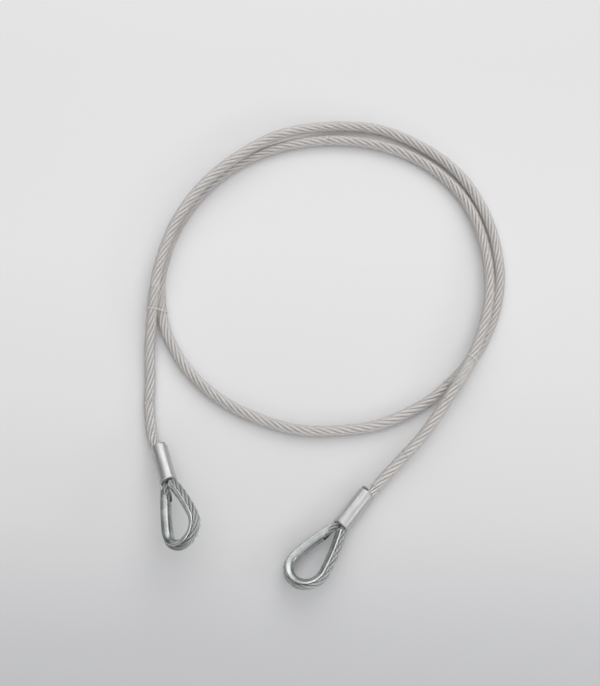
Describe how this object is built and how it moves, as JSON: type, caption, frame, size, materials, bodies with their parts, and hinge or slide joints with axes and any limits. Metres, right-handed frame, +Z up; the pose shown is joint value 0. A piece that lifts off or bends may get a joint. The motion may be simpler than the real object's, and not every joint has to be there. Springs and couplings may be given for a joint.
{
  "type": "wire rope sling",
  "caption": "Plastic-coated wire rope sling in a loose tape-bound coil, with a pressed ferrule and a thimble eye at each end, both ends free to be lifted, swung and rolled.",
  "frame": {"origin": "on the surface the sling lies on, at the centre of the outline of the whole sling seen from above", "axes": "+Z up from the surface; +Y from the eyes towards the far side of the coil; +X from ferrule A's side towards the right wrap's side"},
  "size_m": [0.2575, 0.3578, 0.0431],
  "materials": {
    "rope_steel": "satin",
    "eye_steel": "satin",
    "clear_coat": "gloss",
    "clear_tape": "gloss",
    "ferrule_aluminium": "satin",
    "thimble_zinc": "gloss"
  },
  "bodies": {
    "coil": {"coil_rope": "rope_steel", "coil_coat": "clear_coat", "wrap_left": "clear_tape", "wrap_right": "clear_tape"},
    "leg_a_root": {"leg_a_root_rope": "rope_steel", "leg_a_root_coat": "clear_coat"},
    "leg_a_end": {"leg_a_end_rope": "rope_steel", "leg_a_end_coat": "clear_coat"},
    "eye_a": {"ferrule_a": "ferrule_aluminium", "thimble_a": "thimble_zinc", "eye_a_core": "eye_steel", "eye_a_strand_1": "eye_steel", "eye_a_strand_2": "eye_steel", "eye_a_strand_3": "eye_steel", "eye_a_strand_4": "eye_steel", "eye_a_strand_5": "eye_steel", "eye_a_strand_6": "eye_steel"},
    "leg_b_root": {"leg_b_root_rope": "rope_steel", "leg_b_root_coat": "clear_coat"},
    "leg_b_end": {"leg_b_end_rope": "rope_steel", "leg_b_end_coat": "clear_coat"},
    "eye_b": {"ferrule_b": "ferrule_aluminium", "thimble_b": "thimble_zinc", "eye_b_core": "eye_steel", "eye_b_strand_1": "eye_steel", "eye_b_strand_2": "eye_steel", "eye_b_strand_3": "eye_steel", "eye_b_strand_4": "eye_steel", "eye_b_strand_5": "eye_steel", "eye_b_strand_6": "eye_steel"}
  },
  "joints": [
    {"name": "swing_a", "type": "hinge", "parent": "coil", "child": "leg_a_root", "pos_m": [-0.123, 0.019, 0.0096], "axis": [0, 0, 1], "range_deg": [-12, 12], "stiffness_Nm_per_rad": 1},
    {"name": "lift_a", "type": "hinge", "parent": "leg_a_root", "child": "leg_a_end", "pos_m": [-0.123, -0.028, 0.0079], "axis": [-0.9997, -0.0238, 0], "range_deg": [0, 45], "stiffness_Nm_per_rad": 1},
    {"name": "roll_a", "type": "hinge", "parent": "leg_a_end", "child": "eye_a", "pos_m": [-0.1165, -0.0795, 0.009], "axis": [0.2722, -0.9188, 0.2858], "range_deg": [-40, 40], "stiffness_Nm_per_rad": 0.15},
    {"name": "swing_b", "type": "hinge", "parent": "coil", "child": "leg_b_root", "pos_m": [0.086, -0.041, 0.0116], "axis": [0, 0, 1], "range_deg": [-12, 12], "stiffness_Nm_per_rad": 1},
    {"name": "lift_b", "type": "hinge", "parent": "leg_b_root", "child": "leg_b_end", "pos_m": [0.064, -0.0725, 0.0127], "axis": [-0.7672, 0.6414, 0], "range_deg": [0, 45], "stiffness_Nm_per_rad": 1},
    {"name": "roll_b", "type": "hinge", "parent": "leg_b_end", "child": "eye_b", "pos_m": [0.0295, -0.1115, 0.0074], "axis": [-0.6102, -0.7896, 0.0646], "range_deg": [-40, 40], "stiffness_Nm_per_rad": 0.15}
  ]
}
